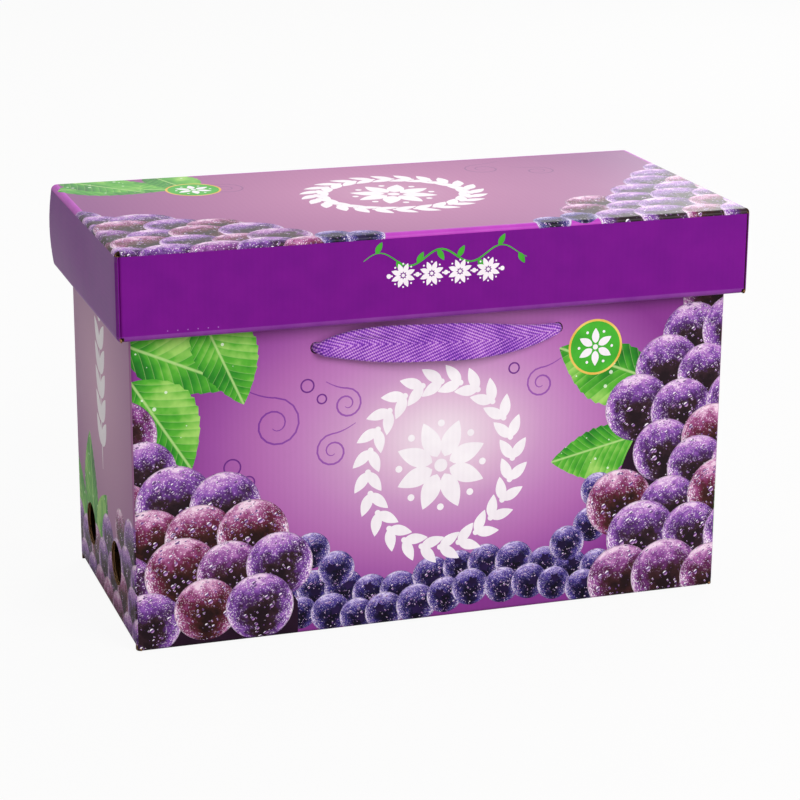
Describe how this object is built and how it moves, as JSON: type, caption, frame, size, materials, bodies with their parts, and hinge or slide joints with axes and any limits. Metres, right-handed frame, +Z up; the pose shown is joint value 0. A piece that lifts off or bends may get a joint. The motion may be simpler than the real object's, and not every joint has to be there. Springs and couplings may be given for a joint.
{
  "type": "fruit gift box",
  "caption": "Deep box of printed fluted board for fruit, with a lift-off lid with rolled skirts, round vent holes and woven carrying straps.",
  "frame": {"origin": "middle of the underside, on the surface that the box stands on", "axes": "+X along the box, +Z up; the front wall faces -Y"},
  "size_m": [0.3568, 0.1756, 0.2248],
  "materials": {
    "base_board": "fluted board, printed violet outside under gloss film, plain kraft inside",
    "lid_board": "fluted board, printed deep purple outside under gloss film, plain kraft inside",
    "woven_tape": "purple herringbone woven tape, soft sheen",
    "toggle_plastic": "moulded polypropylene, natural white"
  },
  "bodies": {
    "base": {"base": "base_board", "front_strap": "woven_tape", "rear_strap": "woven_tape", "front_left_toggle": "toggle_plastic", "front_right_toggle": "toggle_plastic", "rear_left_toggle": "toggle_plastic", "rear_right_toggle": "toggle_plastic"},
    "lid": {"lid": "lid_board"}
  },
  "joints": [
    {"name": "lid_lift", "type": "slide", "parent": "base", "child": "lid", "axis": [0, 0, 1], "range_m": [0, 0.08]}
  ]
}
